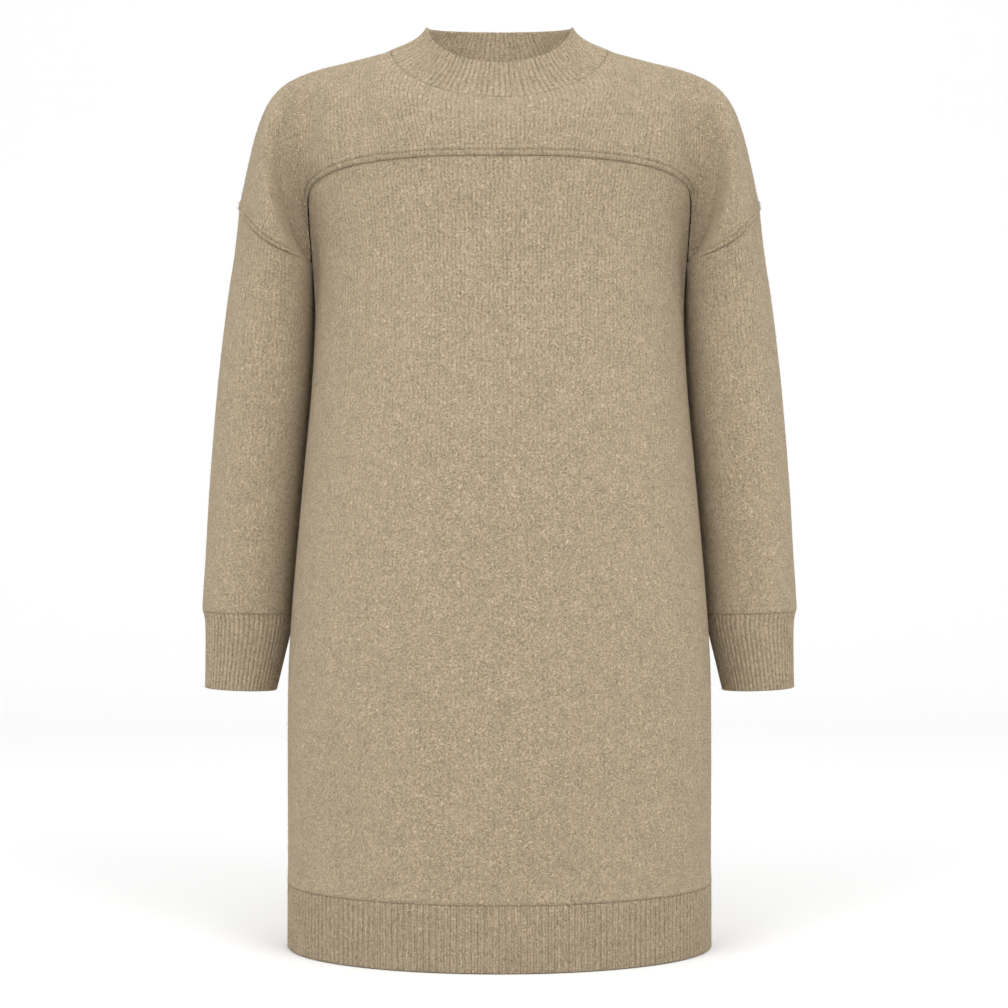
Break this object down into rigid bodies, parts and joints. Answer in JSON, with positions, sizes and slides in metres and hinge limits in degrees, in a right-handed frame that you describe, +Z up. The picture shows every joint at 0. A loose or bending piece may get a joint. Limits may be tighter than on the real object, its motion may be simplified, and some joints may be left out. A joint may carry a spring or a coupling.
{
  "type": "sweater dress",
  "caption": "Knee-length knitted sweater dress with a ribbed stand collar, dropped yoke, long sleeves, ribbed cuffs and hem, in its worn form.",
  "frame": {"origin": "centre line of the garment, level with the neck end of the shoulder line, inside the neck, where the wearer's shoulders hold it", "axes": "+X to the wearer's left, +Y to the wearer's back, +Z up"},
  "size_m": [0.5993, 0.314, 0.9233],
  "materials": {
    "brushed_knit": "brushed beige melange knit with a short soft nap",
    "rib_knit": "ribbed knit of the same brushed yarn"
  },
  "bodies": {
    "root": {"front_yoke": "brushed_knit", "back_yoke": "brushed_knit", "front_panel": "brushed_knit", "back_panel": "brushed_knit", "sleeve_left": "brushed_knit", "sleeve_right": "brushed_knit", "cuff_left": "rib_knit", "cuff_right": "rib_knit", "hem_rib": "rib_knit", "collar": "rib_knit"}
  },
  "joints": []
}
